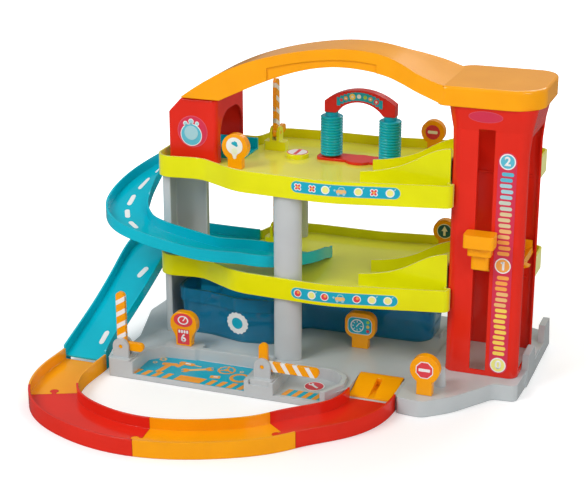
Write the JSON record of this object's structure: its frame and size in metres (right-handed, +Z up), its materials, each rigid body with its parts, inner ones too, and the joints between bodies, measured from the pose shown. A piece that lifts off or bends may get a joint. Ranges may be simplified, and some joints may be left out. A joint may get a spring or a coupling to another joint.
{
  "type": "toy parking garage with lift",
  "caption": "Toy parking garage with two decks on a bay tray, a hand lift tower, curved ramps, a ground track, a tunnel house, a car wash, signs, barriers and a pull-out bin.",
  "frame": {"origin": "on the flat underside of the base, under the right-hand bay near the middle of its front", "axes": "+X to the right along the front towards the lift tower, +Y to the back, +Z up"},
  "size_m": [0.6749, 0.5808, 0.4774],
  "materials": {
    "grey_plastic": "gloss",
    "lime_plastic": "gloss",
    "red_plastic": "gloss",
    "orange_plastic": "gloss",
    "teal_plastic": "gloss",
    "clear_blue": "see-through"
  },
  "bodies": {
    "garage": {"base_plate": "grey_plastic", "deck_lower": "lime_plastic", "deck_upper": "lime_plastic", "front_column_lower": "grey_plastic", "front_column_upper": "grey_plastic", "rear_column": "grey_plastic", "left_column_lower": "grey_plastic", "left_column_upper": "grey_plastic", "tower_front": "red_plastic", "tower_rear": "red_plastic", "handle_arch": "orange_plastic", "tunnel_house": "red_plastic", "upper_ramp": "teal_plastic", "lower_ramp": "teal_plastic", "track_piece_orange_left": "orange_plastic", "track_piece_red_left": "red_plastic", "track_piece_orange_front": "orange_plastic", "track_piece_red_right": "red_plastic", "entry_ramp": "orange_plastic", "fuel_pump": "orange_plastic", "meter_sign": "orange_plastic", "stop_sign": "orange_plastic", "arrow_sign": "orange_plastic", "no_entry_sign": "orange_plastic", "pin_sign": "orange_plastic", "wash_base": "red_plastic", "wash_arch": "red_plastic"},
    "lift": {"lift_platform": "orange_plastic", "lift_knob": "orange_plastic"},
    "roller_left": {"wash_roller_left": "teal_plastic"},
    "roller_right": {"wash_roller_right": "teal_plastic"},
    "bin": {"storage_bin": "clear_blue"},
    "arm_left": {"barrier_arm_left": "orange_plastic"},
    "arm_middle": {"barrier_arm_middle": "orange_plastic"},
    "arm_deck_lower": {"barrier_arm_deck_lower": "orange_plastic"},
    "arm_deck_upper": {"barrier_arm_deck_upper": "orange_plastic"}
  },
  "joints": [
    {"name": "lift_slide", "type": "slide", "parent": "garage", "child": "lift", "axis": [0, 0, 1], "range_m": [-0.15, 0.15]},
    {"name": "roller_left_spin", "type": "hinge", "parent": "garage", "child": "roller_left", "pos_m": [-0.012, 0.197, 0.32], "axis": [0, 0, 1], "continuous": true},
    {"name": "roller_right_spin", "type": "hinge", "parent": "garage", "child": "roller_right", "pos_m": [0.078, 0.197, 0.32], "axis": [0, 0, 1], "continuous": true},
    {"name": "bin_slide", "type": "slide", "parent": "garage", "child": "bin", "axis": [0, 1, 0], "range_m": [0, 0.15]},
    {"name": "barrier_left_hinge", "type": "hinge", "parent": "garage", "child": "arm_left", "pos_m": [-0.254, -0.034, 0.045], "axis": [0, 1, 0], "range_deg": [-90, 0]},
    {"name": "barrier_middle_hinge", "type": "hinge", "parent": "garage", "child": "arm_middle", "pos_m": [-0.034, -0.032, 0.045], "axis": [0, 1, 0], "range_deg": [-90, 0]},
    {"name": "barrier_deck_lower_hinge", "type": "hinge", "parent": "garage", "child": "arm_deck_lower", "pos_m": [-0.106, 0.213, 0.163], "axis": [1, 0, 0], "range_deg": [0, 90]},
    {"name": "barrier_deck_upper_hinge", "type": "hinge", "parent": "garage", "child": "arm_deck_upper", "pos_m": [-0.106, 0.213, 0.317], "axis": [1, 0, 0], "range_deg": [0, 90]}
  ]
}
